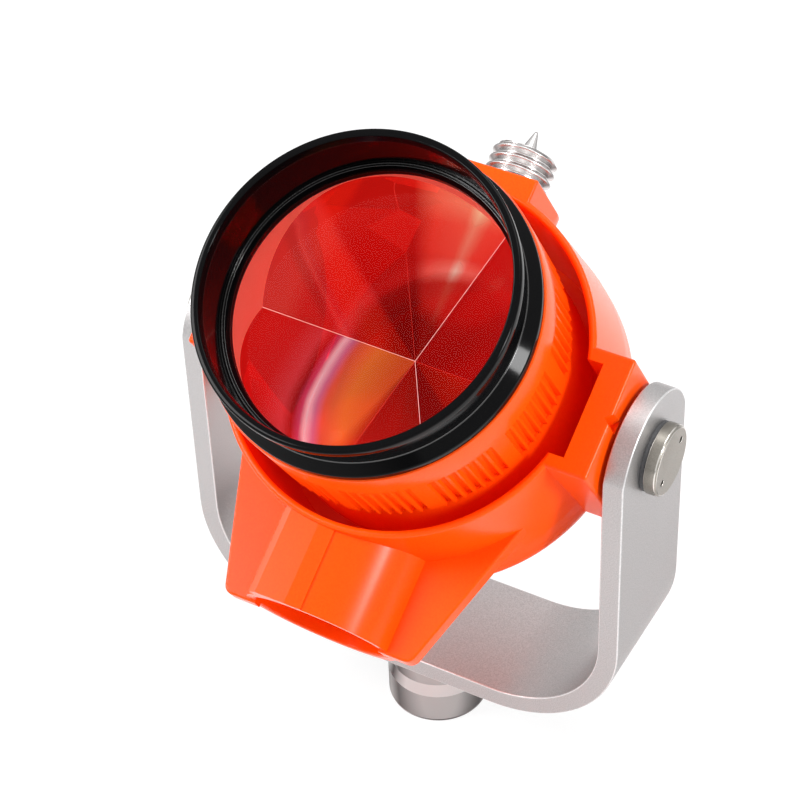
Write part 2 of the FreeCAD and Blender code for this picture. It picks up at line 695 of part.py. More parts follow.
def canister_seat_ring():
    """Rubber ring that the canister's shoulder is screwed down on."""
    body = new_body("canister_seat_ring")
    inside = "stub_radius + 2 * running"
    turn_section(body, "Z", [
        (inside, "-hub_face"), (inside + " + seat_ring_width", "-hub_face"),
        (inside + " + seat_ring_width", "-can_back"), (inside, "-can_back")])
    tilted(body)


def facet_height(radius):
    """Depth of a glass facet's middle line at this distance from the optical axis."""
    return "apex + sqrt(2) * (%s)" % radius


def prism_canister():
    """Moulded canister with a grip, three support lugs and a threaded stub at the rear."""
    body = new_body("prism_canister")
    thread_end = "can_front - ring_thread_length"
    turn_section(body, "Z", [
        ("ring_thread_radius + seated", "can_front"),
        ("can_radius", "can_front"),
        ("grip_radius", "grip_end"),
        ("waist_radius", "grip_end"),
        ("waist_radius", "can_bevel - can_back"),
        ("can_back_radius", "-can_back"),
        ("stub_radius", "-can_back"),
        ("stub_radius", "-can_back - stub_length"),
        ("0", "-can_back - stub_length"),
        ("0", "can_floor - can_back"),
        ("ring_bore - can_bevel", "can_floor - can_back"),
        ("ring_bore", "can_bevel + can_floor - can_back"),
        ("ring_bore", thread_end),
        ("ring_thread_radius + seated", thread_end)])
    root = "ring_bore + can_wall / 2"
    lug = new_sketch(body, "XZ_Plane", turn="cube_turn + 60")
    inner_edge = facet_height("lug_inner") + " - pad_drop"
    outer_edge = facet_height("lug_outer") + " - pad_drop"
    draw_outline(lug, [
        ("lug_inner", inner_edge),
        ("lug_inner", inner_edge + " - lug_foot / 3"),
        (root, inner_edge + " - lug_foot"),
        (root, outer_edge),
        ("lug_outer", outer_edge)])
    pad = extrude(body, lug, "lug_width", both_ways=True)
    around(body, pad, 3, 1)
    tilted(body)


def seat_pads():
    """Three rubber pads between the canister's lugs and the glass."""
    body = new_body("seat_pads")
    body.AllowCompound = True
    sketch = new_sketch(body, "XZ_Plane", turn="cube_turn + 60")
    draw_outline(sketch, [
        ("lug_inner", facet_height("lug_inner") + " - pad_drop"),
        ("lug_outer", facet_height("lug_outer") + " - pad_drop"),
        ("lug_outer", facet_height("lug_outer")),
        ("lug_inner", facet_height("lug_inner"))])
    pad = extrude(body, sketch, "lug_width - 2 * glass_bevel", both_ways=True)
    around(body, pad, 3, 1)
    tilted(body)


def corner_cube():
    """Glass cylinder whose rear is three facets at right angles to each other."""
    body = new_body("corner_cube")
    turn_section(body, "Z", [
        ("0", "apex"), ("glass_radius", "apex"), ("glass_radius", "glass_front - glass_bevel"),
        ("glass_radius - glass_bevel", "glass_front"), ("0", "glass_front")])
    waste = new_sketch(body, "XZ_Plane", turn="cube_turn + 60")
    edge = "glass_radius + 1"
    draw_outline(waste, [("0", "apex"), (edge, "apex - 1"), (edge, facet_height(edge))])
    facet = extrude(body, waste, "3 * glass_radius", cut=True, both_ways=True)
    around(body, facet, 3, -1)
    tilted(body)


def front_ring():
    """Black ring screwed into the canister, with a flange and a sunshade lip."""
    body = new_body("front_ring")
    thread_end = "can_front - ring_thread_length"
    turn_section(body, "Z", [
        ("ring_bore", thread_end),
        ("ring_thread_radius", thread_end),
        ("ring_thread_radius", "can_front"),
        ("can_radius - flange_inset", "can_front"),
        ("can_radius - flange_inset", "can_front + flange_thick"),
        ("ring_neck_radius", "can_front + 2 * flange_thick"),
        ("ring_neck_radius", "ring_lip_front - 2 * lip_thick"),
        ("ring_lip_radius", "ring_lip_front - lip_thick"),
        ("ring_lip_radius", "ring_lip_front"),
        ("ring_bore + mouth_step", "ring_lip_front"),
        ("ring_bore", "ring_lip_front - lip_thick")])
    tilted(body)


def front_gasket():
    """Thin gasket between the glass and the retaining ring."""
    body = new_body("front_gasket")
    top = "glass_front + gasket_thick"
    turn_section(body, "Z", [
        ("retainer_bore", "glass_front"), ("lug_outer", "glass_front"),
        ("lug_outer", top), ("retainer_bore", top)])
    tilted(body)


def retaining_ring():
    """Threaded ring inside the black ring, which holds the glass down."""
    body = new_body("retaining_ring")
    low = "glass_front + gasket_thick"
    high = low + " + retainer_length"
    outer = "ring_bore - seated"
    turn_section(body, "Z", [
        ("retainer_bore", low), (outer, low), (outer, high), ("retainer_bore + retainer_lip", high),
        ("retainer_bore", low + " + retainer_length / 2")])
    tilted(body)


def glass_seal():
    """Rubber seal round the glass, which centres it in the black ring."""
    body = new_body("glass_seal")
    inner = "glass_radius + seated"
    outer = "ring_bore - seated"
    low = "can_front - ring_thread_length + seal_inset"
    high = low + " + seal_length"
    turn_section(body, "Z", [(inner, low), (outer, low), (outer, high), (inner, high)])
    tilted(body)


def check_document():
    """Stop on any failed feature, and on any sub-part without a valid solid shape."""
    for item in doc.Objects:
        if "Invalid" in item.State or "Error" in item.State:
            raise ValueError("%s failed: %s" % (item.Label, item.State))
    for part in parts:
        if part.Shape.isNull() or not part.Shape.isValid() or not part.Shape.Solids:
            raise ValueError(part.Label + " has no valid solid")


sheet = make_sheet()
yoke_bracket()
base_bushing()
holder_shell()
top_stud()
for name in SIDES:
    pivot_bush(name)
    outer_washer(name)
    friction_washer(name)
    pivot_screw(name)
    pivot_insert(name)
thread_insert()
canister_seat_ring()
prism_canister()
seat_pads()
corner_cube()
front_ring()
front_gasket()
retaining_ring()
glass_seal()
doc.recompute()
check_document()

os.makedirs("parts", exist_ok=True)
for part in parts:
    part.Shape.exportStep("parts/%s.step" % part.Label)
    print("%-22s solids %d  volume %9.1f mm3" % (
        part.Label, len(part.Shape.Solids), part.Shape.Volume))
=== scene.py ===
import json
import math

import bmesh
import bpy
from mathutils import Matrix, Vector

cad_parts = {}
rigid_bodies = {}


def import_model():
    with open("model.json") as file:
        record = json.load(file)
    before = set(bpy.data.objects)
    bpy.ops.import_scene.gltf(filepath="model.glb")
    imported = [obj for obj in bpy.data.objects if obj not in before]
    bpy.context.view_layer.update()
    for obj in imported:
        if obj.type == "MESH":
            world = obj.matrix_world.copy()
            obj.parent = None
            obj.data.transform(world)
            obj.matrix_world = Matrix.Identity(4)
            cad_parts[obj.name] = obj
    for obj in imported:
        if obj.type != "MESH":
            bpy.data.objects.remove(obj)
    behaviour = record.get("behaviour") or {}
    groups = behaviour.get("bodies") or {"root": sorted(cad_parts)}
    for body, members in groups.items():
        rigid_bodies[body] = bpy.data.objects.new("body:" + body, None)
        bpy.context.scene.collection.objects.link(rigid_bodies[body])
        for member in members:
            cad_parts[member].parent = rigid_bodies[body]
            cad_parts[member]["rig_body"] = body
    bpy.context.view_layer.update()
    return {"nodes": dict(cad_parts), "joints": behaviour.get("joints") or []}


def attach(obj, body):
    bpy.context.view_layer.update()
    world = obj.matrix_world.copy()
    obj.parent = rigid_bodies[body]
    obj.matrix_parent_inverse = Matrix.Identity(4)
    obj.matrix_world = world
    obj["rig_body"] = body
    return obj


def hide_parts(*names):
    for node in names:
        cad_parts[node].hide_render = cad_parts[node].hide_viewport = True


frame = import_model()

MM = 0.001
WHITE = (1, 1, 1, 1)

# ---------------------------------------------------------------- the instrument's own frame
JOINTS = {joint["name"]: joint for joint in frame["joints"]}
PIVOT = Vector(JOINTS["holder_tilt"]["pos_m"])
SIDE = Vector((1, 0, 0))
FORWARD = Vector(JOINTS["canister_turn"]["axis"]).normalized()
UP = FORWARD.cross(SIDE)
FOOT = Vector((0, 0, 0))
VERTICAL = Vector((0, 0, 1))

# Sizes that several pieces share, in millimetres.
THREAD_PITCH = 25.4 / 11       # 5/8 inch survey thread, 11 turns an inch
BEAM_BORE = 33.9               # inside radius of the canister and of the black ring
RING_THREAD_LENGTH = 6.2       # how far the black ring screws into the canister


def axes(side, up, forward, origin=PIVOT):
    """The matrix of a frame in millimetres with these three directions."""
    turn = Matrix((side, up, forward)).transposed().to_4x4()
    return Matrix.Translation(origin) @ turn @ Matrix.Scale(MM, 4)


INSTRUMENT = axes(SIDE, UP, FORWARD)                        # Z along the optical axis
ALONG_STUD = axes(SIDE, -FORWARD, UP)                       # Z up the stud
ALONG_BASE = axes(SIDE, Vector((0, 1, 0)), VERTICAL, FOOT)  # Z up the bushing


# ---------------------------------------------------------------- node helpers
class Nodes:
    """A node tree, with short calls for adding and linking its nodes."""

    def __init__(self, tree):
        self.tree = tree
        self.tree.nodes.clear()

    def add(self, kind, inputs=None, **settings):
        """A new node. Each input is a plain value, or the output of another node."""
        node = self.tree.nodes.new(kind)
        for key, value in settings.items():
            setattr(node, key, value)
        for key, value in (inputs or {}).items():
            socket = node.inputs[key]
            if isinstance(value, bpy.types.NodeSocket):
                self.tree.links.new(value, socket)
            else:
                socket.default_value = value
        return node

    def math(self, operation, first, second=0.0):
        return self.add("ShaderNodeMath", {0: first, 1: second}, operation=operation).outputs[0]

    def vector(self, operation, first, second):
        return self.add("ShaderNodeVectorMath", {0: first, 1: second}, operation=operation)

    def mix(self, share, first, second):
        """The first shader, with this share of the second."""
        return self.add("ShaderNodeMixShader", {0: share, 1: first.outputs[0], 2: second.outputs[0]})


class Shader(Nodes):
    """A material and its node tree."""

    def __init__(self, name):
        self.material = bpy.data.materials.new(name)
        self.material.use_nodes = True
        super().__init__(self.material.node_tree)

    def place(self):
        """The point of the surface in the object's own frame, in metres."""
        return self.add("ShaderNodeTexCoord").outputs["Object"]

    def noise(self, scale, detail=2.0):
        inputs = {"Vector": self.place(), "Scale": scale, "Detail": detail}
        return self.add("ShaderNodeTexNoise", inputs).outputs["Fac"]

    def ramp(self, factor, stops):
        """A colour that follows the factor through stops of (position, colour)."""
        node = self.add("ShaderNodeValToRGB", {"Fac": factor})
        band = node.color_ramp
        while len(band.elements) < len(stops):
            band.elements.new(0.5)
        for element, (position, colour) in zip(band.elements, stops):
            element.position = position
            element.color = colour
        return node.outputs["Color"]

    def bump(self, height, distance):
        inputs = {"Height": height, "Distance": distance * MM, "Strength": 1.0}
        return self.add("ShaderNodeBump", inputs).outputs["Normal"]

    def along(self, direction):
        """How far the surface's point lies from the tilt axis along a direction, in metres."""
        offset = self.vector("SUBTRACT", self.place(), tuple(PIVOT)).outputs[0]
        return self.vector("DOT_PRODUCT", offset, tuple(direction)).outputs["Value"]

    def principled(self, colour, normal, settings):
        inputs = {"Base Color": colour, "Normal": normal}
        inputs.update(settings)
        return self.finish(self.add("ShaderNodeBsdfPrincipled", inputs))

    def finish(self, shader):
        self.add("ShaderNodeOutputMaterial", {"Surface": shader.outputs[0]})
        return self.material


def rgb(red, green, blue):
    """A colour written as the 0 to 255 numbers of a display, for a shader's socket."""
    def linear(value):
        value /= 255
        return value / 12.92 if value <= 0.04045 else ((value + 0.055) / 1.055) ** 2.4
    return (linear(red), linear(green), linear(blue), 1)


# ---------------------------------------------------------------- finishes
def grained(name, dark, light, grain, unevenness, **settings):
    """A finish that wavers between two tones, uneven in grains. Both sizes are in mm."""
    shader = Shader(name)
    noise = shader.noise(1 / (grain * MM))
    colour = shader.ramp(noise, [(0.35, dark), (0.65, light)])
    return shader.principled(colour, shader.bump(noise, unevenness), settings)


def turned(name, bright, dark, pitch, **settings):
    """Bright turned metal with the tool's fine marks, and darker where it curves away: a painted
    reflection in bands by how the surface faces the view.
    """
    shader = Shader(name)
    marks = shader.noise(1 / (pitch * MM), 4.0)
    facing = shader.add("ShaderNodeLayerWeight", {"Blend": 0.5}).outputs["Facing"]
    painted_reflection_bands = [(0.0, bright), (0.38, bright), (0.62, dark), (0.8, bright), (1.0, dark)]
    return shader.principled(shader.ramp(facing, painted_reflection_bands), shader.bump(marks, 0.003), settings)


def floor_material():
    """Pale floor that looks white to the camera and keeps the object's shadow."""
    shader = Shader("floor")
    pale = [(0.3, (0.88, 0.88, 0.88, 1)), (0.7, (0.92, 0.92, 0.92, 1))]
    matt = shader.add("ShaderNodeBsdfDiffuse", {"Color": shader.ramp(shader.noise(3.0), pale)})
    white = shader.add("ShaderNodeEmission", {"Color": WHITE, "Strength": 1.08})
    seen = shader.add("ShaderNodeLightPath").outputs["Is Camera Ray"]
    return shader.finish(shader.mix(shader.math("MULTIPLY", seen, 0.75), matt, white))


def coated_glass():
    """Polished glass whose front is coated, so that it mirrors little and bends light as glass does."""
    shader = Shader("optical_glass")
    haze = shader.ramp(shader.noise(40), [(0.3, (0.97, 0.97, 1.0, 1)), (0.7, (1.0, 0.99, 0.97, 1))])
    bend = shader.add("ShaderNodeBsdfRefraction", {"Color": haze, "Roughness": 0.0, "IOR": 1.517})
    shine = shader.add("ShaderNodeBsdfGlossy", {"Color": WHITE, "Roughness": 0.0})
    return shader.finish(shader.mix(0.006, bend, shine))


def facet_material(name, mirror, middle, centre, arcs, fans, core):
    """A rear facet of the glass, painted with the orange of the canister's inside that shows through it.

    Its colour is the product of arcs round a centre (side, up, span in mm), fans from
    one ridge to the next, and a core round the apex: painted reflections. Four fifths of it
    is given off as painted light. It mirrors the given share of light.
    """
    shader = Shader(name)

    def reach(side, up, span):
        across = shader.math("ADD", shader.along(SIDE), -side * MM)
        upward = shader.math("ADD", shader.along(UP), -up * MM)
        squares = shader.math("ADD", shader.math("POWER", across, 2.0), shader.math("POWER", upward, 2.0))
        waver = shader.math("MULTIPLY", shader.noise(45), 1.5 * MM)
        away = shader.math("ADD", shader.math("SQRT", squares), waver)
        return shader.math("DIVIDE", away, span * MM)

    turn = math.radians(middle)
    outward = shader.along(SIDE * math.cos(turn) + UP * math.sin(turn))
    aside = shader.along(UP * math.cos(turn) - SIDE * math.sin(turn))
    angle = shader.math("DIVIDE", shader.math("ARCTAN2", aside, outward), math.radians(120))
    fan = shader.ramp(shader.math("ADD", angle, 0.5), fans)
    colour = shader.vector("MULTIPLY", shader.ramp(reach(*centre), arcs), fan).outputs[0]
    apex = shader.ramp(reach(0.0, 3.0, 40.0), core)
    colour = shader.vector("MULTIPLY", colour, apex).outputs[0]
    matt = shader.add("ShaderNodeBsdfDiffuse", {"Color": colour})
    painted_light = shader.add("ShaderNodeEmission", {"Color": colour, "Strength": 1.35})
    shine = shader.add("ShaderNodeBsdfGlossy", {"Color": rgb(255, 92, 84), "Roughness": 0.01})
    return shader.finish(shader.mix(mirror, shader.mix(0.8, matt, painted_light), shine))


def specular(level):
    """How strongly a finish that is not metal mirrors."""
    return {"Specular IOR Level": level}


def painted_glow(colour, strength):
    """Light that a finish gives off though it is no lamp: a painted glow."""
    return {"Emission Color": colour, "Emission Strength": strength}


FINISHES = (
    # The orange plastic gives off a faint red light: a painted glow that keeps its shade and hollows deep
    # red.
    grained("orange_plastic", rgb(252, 80, 4), rgb(255, 86, 6), 0.5, 0.002,
            Roughness=0.22, **specular(0.15), **painted_glow(rgb(255, 12, 0), 0.055)),
    grained("blasted_aluminium", rgb(166, 164, 164), rgb(186, 184, 184), 0.28, 0.005,
            Metallic=1.0, Roughness=0.42),
    # The turned finishes below carry a painted reflection: bright and dark bands by how the surface faces
    # the view.
    turned("turned_aluminium", rgb(206, 203, 202), rgb(112, 106, 105), 0.25, Metallic=1.0, Roughness=0.27),
    turned("satin_aluminium", rgb(170, 166, 165), rgb(82, 76, 75), 0.3, Metallic=1.0, Roughness=0.28),
    # The polished taper's dark red tone is a painted reflection of the orange holder.
    turned("polished_aluminium", rgb(198, 195, 194), rgb(64, 50, 50), 0.3, Metallic=1.0, Roughness=0.07),
    # The bright edge is paler than the blasted aluminium: a painted highlight on the yoke's rounded edges.
    grained("bright_edge", rgb(206, 205, 205), rgb(220, 219, 219), 0.4, 0.001,
            Metallic=1.0, Roughness=0.38),
    # The nickel edge is paler than the nickel: a painted highlight on the screws' rounded edges.
    turned("nickel_edge", rgb(214, 210, 204), rgb(98, 92, 86), 0.3, Metallic=1.0, Roughness=0.1),
    # The black edge is paler than the black anodising: a painted highlight on the rings' rounded edges.
    grained("black_edge", rgb(30, 29, 29), rgb(40, 39, 39), 0.4, 0.001, Roughness=0.15, **specular(0.6)),
    grained("nylon", rgb(222, 220, 212), rgb(236, 234, 226), 1.0, 0.002, Roughness=0.5),
    grained("dark_washer", rgb(60, 60, 62), rgb(78, 78, 80), 0.5, 0.004, Roughness=0.5),
    grained("nickel", rgb(142, 137, 129), rgb(154, 149, 141), 0.3, 0.003, Metallic=1.0, Roughness=0.3),
    grained("brass", rgb(190, 150, 80), rgb(210, 172, 100), 0.6, 0.002, Metallic=1.0, Roughness=0.35),
    grained("black_rubber", rgb(18, 18, 18), rgb(26, 26, 26), 0.6, 0.004, Roughness=0.6),
    grained("black_anodised", rgb(4, 4, 5), rgb(7, 7, 8), 0.4, 0.001, Roughness=0.08, **specular(0.08)),
    coated_glass(),
)
MATERIALS = {material.name.split(".")[0]: material for material in FINISHES}
for node in frame["nodes"].values():
    for slot in node.material_slots:
        slot.material = MATERIALS[slot.material.name.split(".")[0]]


# ---------------------------------------------------------------- building detailed pieces
def new_object(name, shape, materials, node, smooth=35):
    """Turn a bmesh into an object that rides on a CAD node's body and is shown in its place."""
    bmesh.ops.recalc_face_normals(shape, faces=shape.faces)
    mesh = bpy.data.meshes.new(name)
    shape.to_mesh(mesh)
    shape.free()
    for material in materials:
        mesh.materials.append(material)
    mesh.polygons.foreach_set("use_smooth", [True] * len(mesh.polygons))
    mesh.set_sharp_from_angle(angle=math.radians(smooth))
    item = bpy.data.objects.new(name, mesh)
    bpy.context.scene.collection.objects.link(item)
    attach(item, frame["nodes"][node]["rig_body"])
    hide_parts(node)
    return item


def rounded(corners, steps=4):
    """Round a closed outline: each corner is (radius, along) or (radius, along, rounding)."""
    outline = []
    for i, corner in enumerate(corners):
        here = Vector(corner[:2])
        if len(corner) < 3:
            outline.append(here)
            continue
        before = (Vector(corners[i - 1][:2]) - here).normalized()
        after = (Vector(corners[(i + 1) % len(corners)][:2]) - here).normalized()
        half = before.angle(after) / 2
        inset = corner[2] / math.tan(half)
        centre = here + (before + after).normalized() * corner[2] / math.sin(half)
        start = (here + before * inset - centre).normalized()
        end = (here + after * inset - centre).normalized()
        for step in range(steps + 1):
            outline.append(centre + start.slerp(end, step / steps) * corner[2])
    return outline


def spin(shape, outline, place, steps, change=None, paint=None):
    """Revolve a closed outline of (radius, along) about Z.

    change() alters a radius, and paint() picks the material between two points of the outline.
    """
    rows = []
    for radius, along in outline:
        if radius < 1e-6:
            rows.append([shape.verts.new(place @ Vector((0, 0, along)))] * steps)
            continue
        row = []
        for step in range(steps):
            angle = 2 * math.pi * step / steps
            reach = change(radius, along, angle) if change else radius
            point = Vector((reach * math.cos(angle), reach * math.sin(angle), along))
            row.append(shape.verts.new(place @ point))
        rows.append(row)
    outline = [tuple(corner) for corner in outline]
    ends = zip(rows, rows[1:] + rows[:1], outline, outline[1:] + outline[:1])
    for lower, upper, first, second in ends:
        for step in range(steps):
            after = (step + 1) % steps
            loop = []
            for vertex in (lower[step], lower[after], upper[after], upper[step]):
                if vertex not in loop:
                    loop.append(vertex)
            if len(loop) > 2:
                face = shape.faces.new(loop)
                face.material_index = paint(first, second) if paint else 0


def from_node(node):
    """A welded copy of a CAD node's shape, with its flat faces made whole again."""
    shape = bmesh.new()
    shape.from_mesh(frame["nodes"][node].data)
    bmesh.ops.remove_doubles(shape, verts=shape.verts, dist=1e-6)
    bmesh.ops.dissolve_limit(shape, angle_limit=math.radians(0.5), verts=shape.verts, edges=shape.edges)
    return shape


def soften(node, width, finish, edge):
    """Show a CAD node with its sharp edges rounded, in a material of their own; where it is paler, that is
    a painted highlight.
    """
    materials = [MATERIALS[finish], MATERIALS[edge]]
    item = new_object(node + "_soft", from_node(node), materials, node)
    bevel = item.modifiers.new("round", "BEVEL")
    bevel.width = width * MM
    bevel.segments = 3
    bevel.material = 1
    bevel.limit_method = "ANGLE"
    bevel.angle_limit = math.radians(40)
    bevel.harden_normals = True


def edge_of(node, direction, origin=PIVOT):
    """The lowest and highest place of a CAD node along a direction, in millimetres."""
    points = frame["nodes"][node].data.vertices
    places = [(vertex.co - origin).dot(direction) / MM for vertex in points]
    return min(places), max(places)


def widest(node, direction, origin=PIVOT):
    """The largest distance of a CAD node's points from an axis, in millimetres."""
    points = frame["nodes"][node].data.vertices
    return max((vertex.co - origin).cross(direction).length for vertex in points) / MM


# ---------------------------------------------------------------- yoke
# The yoke's and the screws' rounded edges are paler than their faces: a painted highlight.
soften("yoke_bracket", 0.55, "blasted_aluminium", "bright_edge")
for name in ("outer_washer_right", "outer_washer_left"):
    soften(name, 0.12, "dark_washer", "dark_washer")
for name in ("pivot_screw_right", "pivot_screw_left"):
    soften(name, 0.16, "nickel", "nickel_edge")


def make_bushing():
    """Bushing with a satin foot, a polished taper and a blind hole with its thread."""
    low, high = edge_of("base_bushing", VERTICAL, FOOT)
    foot = widest("base_bushing", VERTICAL, FOOT)
    neck = foot - 0.75
    spigot = 4.4
    under = high - 5.0
    roof = under - 4.7
    bore = 7.94
    taper_low = 9.2
    taper_high = 12.7
    row_height = 0.14

    def thread(radius, along, angle):
        if abs(radius - bore) > 0.001 or not 1.0 < along < roof - 0.5:
            return radius
        turn = (along / THREAD_PITCH - angle / (2 * math.pi)) % 1.0
        depth = 1.2 * min(1.0, 1.2 * abs(2 * turn - 1))
        return radius - depth

    def polish(first, second):
        heights = (first[1], second[1])
        return 1 if min(heights) > taper_low - 0.2 and max(heights) < taper_high + 0.2 else 0

    rows = [(bore, roof - 0.1 - step * row_height) for step in range(int((roof - 0.8) / row_height))]
    outline = [(0, high), (0, roof), (bore, roof)] + rows + rounded([
        (bore, 0.5, 0.01), (bore + 0.5, low, 0.1), (foot - 0.3, low, 0.25), (foot, 0.9, 0.6),
        (foot, taper_low, 0.25), (neck, taper_high, 0.3), (neck, under, 0.01),
        (spigot, under, 0.01), (spigot, high, 0.01)])
    shape = bmesh.new()
    spin(shape, outline, ALONG_BASE, 192, thread, polish)
    materials = [MATERIALS["satin_aluminium"], MATERIALS["polished_aluminium"]]
    new_object("bushing_turned", shape, materials, "base_bushing", 50)


make_bushing()


# ---------------------------------------------------------------- stud
def make_stud():
    """Stud with a rolled thread, its end bevelled, and a centring point."""
    low, high = edge_of("top_stud", UP)
    crest = 7.93
    neck = 6.75
    flange, flange_thick = 9.45, 2.15
    point_length = 5.8
    thread_length = 8.8
    end = high - point_length
    start = end - thread_length
    rows = 130

    def thread(radius, along, angle):
        if radius < 7.2 or not start <= along <= end:
            return radius
        turn = ((along - start) / THREAD_PITCH - angle / (2 * math.pi)) % 1.0
        flank = abs(2 * turn - 1)
        depth = 1.3 * min(1.0, max(0.0, (1.12 * flank - 0.16) / 0.84))
        bevel = max(0.0, along - (end - 1.0))
        return min(radius - depth, crest - bevel)

    shoulder = low + flange_thick
    outline = [(0, low), (flange, low), (flange, shoulder), (neck + 0.05, shoulder), (neck, start)]
    row_height = (thread_length - 0.04) / rows
    outline += [(crest, start + 0.02 + step * row_height) for step in range(rows + 1)]
    outline += [
        (6.2, end), (2.6, end), (2.0, end + 0.35), (1.75, end + 1.2),
        (0.55, high - 0.6), (0.3, high - 0.1), (0, high)]
    shape = bmesh.new()
    spin(shape, outline, ALONG_STUD, 160, thread)
    new_object("stud_threaded", shape, [MATERIALS["turned_aluminium"]], "top_stud", 50)


make_stud()


# ---------------------------------------------------------------- canister
def make_canister():
    """Canister with groups of grooves for the fingers, arched in front and open at the rear."""
    low, high = edge_of("prism_canister", FORWARD)
    top_radius = widest("prism_canister", FORWARD)
    rear_edge = 19.25
    wall_radius = 36.85
    thread_bore = 35.23
    rear_bevel = 7.0
    stub, stub_length = 12.0, 6.0
    floor_front = low + stub_length + 2.0
    groups, grooves = 12, 7
    spacing = math.radians(3.6)
    phase = math.radians(20.5)
    groove_end = 36.0
    groove_depth = 1.25

    def grip(radius, along, angle):
        if radius < top_radius - 0.8 or along > groove_end + 0.2 or along < rear_edge - 0.01:
            return radius
        sector = 2 * math.pi / groups
        place = (angle - phase + sector / 2) % sector - sector / 2
        if abs(place) > spacing * grooves / 2:
            return radius
        across = abs((place / spacing + (grooves % 2) / 2) % 1.0 - 0.5) * 2
        deepening = 0.4 + 0.6 * min(1.0, (groove_end - along) / 15.0)
        arch = min(1.0, max(0.0, (groove_end - along) / 1.2))
        section = min(1.0, max(0.0, (0.72 - across) / 0.3))
        return radius - groove_depth * deepening * section * math.sqrt(arch)

    outline = [
        (thread_bore, high), (top_radius - 0.4, high), (top_radius - 0.12, high - 0.12),
        (top_radius - 0.01, high - 0.4)]
    heights = [groove_end - drop for drop in (-0.2, 0.0, 0.2, 0.5, 0.8, 1.1, 1.4)]
    heights += [groove_end - 2.0 - step * 1.4 for step in range(11)] + [rear_edge]
    draft = 0.35 / (high - rear_edge)
    outline += [(top_radius - 0.01 - draft * (high - along), along) for along in heights]
    outline += [
        (wall_radius, rear_edge), (wall_radius, low + stub_length + rear_bevel),
        (wall_radius - rear_bevel, low + stub_length), (stub, low + stub_length), (stub, low),
        (0, low), (0, floor_front),
        (BEAM_BORE - rear_bevel, floor_front), (BEAM_BORE, floor_front + rear_bevel),
        (BEAM_BORE, high - RING_THREAD_LENGTH), (thread_bore, high - RING_THREAD_LENGTH)]
    shape = bmesh.new()
    spin(shape, outline, INSTRUMENT, 1080, grip)
    new_object("canister_grooved", shape, [MATERIALS["orange_plastic"]], "prism_canister", 40)


make_canister()


# ---------------------------------------------------------------- black rings
# The longest step of a rounded edge that gets the painted highlight.
LONGEST_HIGHLIGHT_STEP = 0.12       # in mm


def edge_highlight(first, second):
    """Give the short steps of a rounded edge the paler finish: a painted highlight."""
    return 1 if math.dist(first, second) < LONGEST_HIGHLIGHT_STEP else 0


def make_ring(name, node, outline):
    """A turned black ring, a little paler on its rounded edges: a painted highlight."""
    shape = bmesh.new()
    spin(shape, outline, INSTRUMENT, 320, paint=edge_highlight)
    new_object(name, shape, [MATERIALS["black_anodised"], MATERIALS["black_edge"]], node)


def make_front_ring():
    """Black ring with its edges broken: thread, flange, neck and front lip."""
    low, high = edge_of("front_ring", FORWARD)
    flange = widest("front_ring", FORWARD)
    bore = BEAM_BORE
    thread_radius = bore + 1.3
    neck = 35.0
    lip, lip_thick = 36.1, 2.2
    flange_back = low + RING_THREAD_LENGTH
    flange_front = flange_back + 2.1
    make_ring("front_ring_soft", "front_ring", rounded([
        (bore, low), (thread_radius, low), (thread_radius, flange_back), (flange, flange_back, 0.35),
        (flange, flange_front, 0.7), (neck, flange_front + 2.1, 0.5), (neck, high - 2 * lip_thick, 0.6),
        (lip, high - lip_thick, 0.5), (lip, high, 0.6), (bore + 0.4, high, 0.35),
        (bore, high - lip_thick, 0.5)]))


def make_retaining_ring():
    """Retaining ring with broken edges and a groove round its face."""
    low, high = edge_of("retaining_ring", FORWARD)
    outer = widest("retaining_ring", FORWARD)
    bore = outer - 1.67
    groove_floor = high - 0.25
    make_ring("retaining_ring_soft", "retaining_ring", rounded([
        (bore, low), (outer, low), (outer, high, 0.15), (outer - 0.35, high, 0.1),
        (outer - 0.4, groove_floor), (outer - 0.5, groove_floor), (outer - 0.55, high, 0.1),
        (outer - 0.87, high, 0.12), (bore, low + 1.3, 0.15)], 3))


make_front_ring()
make_retaining_ring()


# ---------------------------------------------------------------- glass
PLAIN = [(0.0, (0.8, 0.8, 0.8, 1)), (1.0, WHITE)]
WIDE_ARCS = (13.0, -9.0, 50.0)       # centre and span of the painted reflection arcs, as facet_material takes them
FLAT_ARCS = (47.5, 2.5, 100.0)

FACET_SHIFT = 0.06                   # how far the facets lie in front of the CAD's, in mm
RIDGE_BEVEL = 0.06                   # how far a ridge's bevel reaches into each facet, in mm

# The slots of the glass's materials, and the degrees round the optical axis that each facet faces.
UPPER, LEFT, RIGHT, RIDGE, RIM = range(1, 6)
FACING = {UPPER: 125, LEFT: 245, RIGHT: 5}


def upper_facet():
    """Red with painted reflections, a pale arc and a dark core at the apex, and a painted highlight as a
    bright fan beside the right ridge.
    """
    arcs = [
        (0.0, rgb(190, 30, 20)), (0.56, rgb(200, 34, 24)), (0.61, rgb(250, 110, 96)),
        (0.66, rgb(232, 60, 46)), (0.78, rgb(240, 72, 54)), (0.86, rgb(255, 122, 92)),
        (1.0, rgb(255, 120, 96))]
    fans = [
        (0.0, (1, 0.8, 0.8, 1)), (0.05, WHITE), (0.09, (1, 4, 4.2, 1)), (0.12, (1, 1.4, 1.4, 1)),
        (0.22, (1, 0.8, 0.8, 1)), (0.3, (0.5, 0.05, 0.05, 1)), (0.6, (0.48, 0.04, 0.05, 1)),
        (0.64, (0.58, 0.14, 0.2, 1)), (1.0, (0.62, 0.2, 0.26, 1))]
    core = [
        (0.0, (0.16, 0.1, 0.1, 1)), (0.14, (0.2, 0.1, 0.1, 1)), (0.24, (0.8, 0.6, 0.6, 1)), (0.5, WHITE)]
    return facet_material("facet_upper", 0.4, FACING[UPPER], WIDE_ARCS, arcs, fans, core)


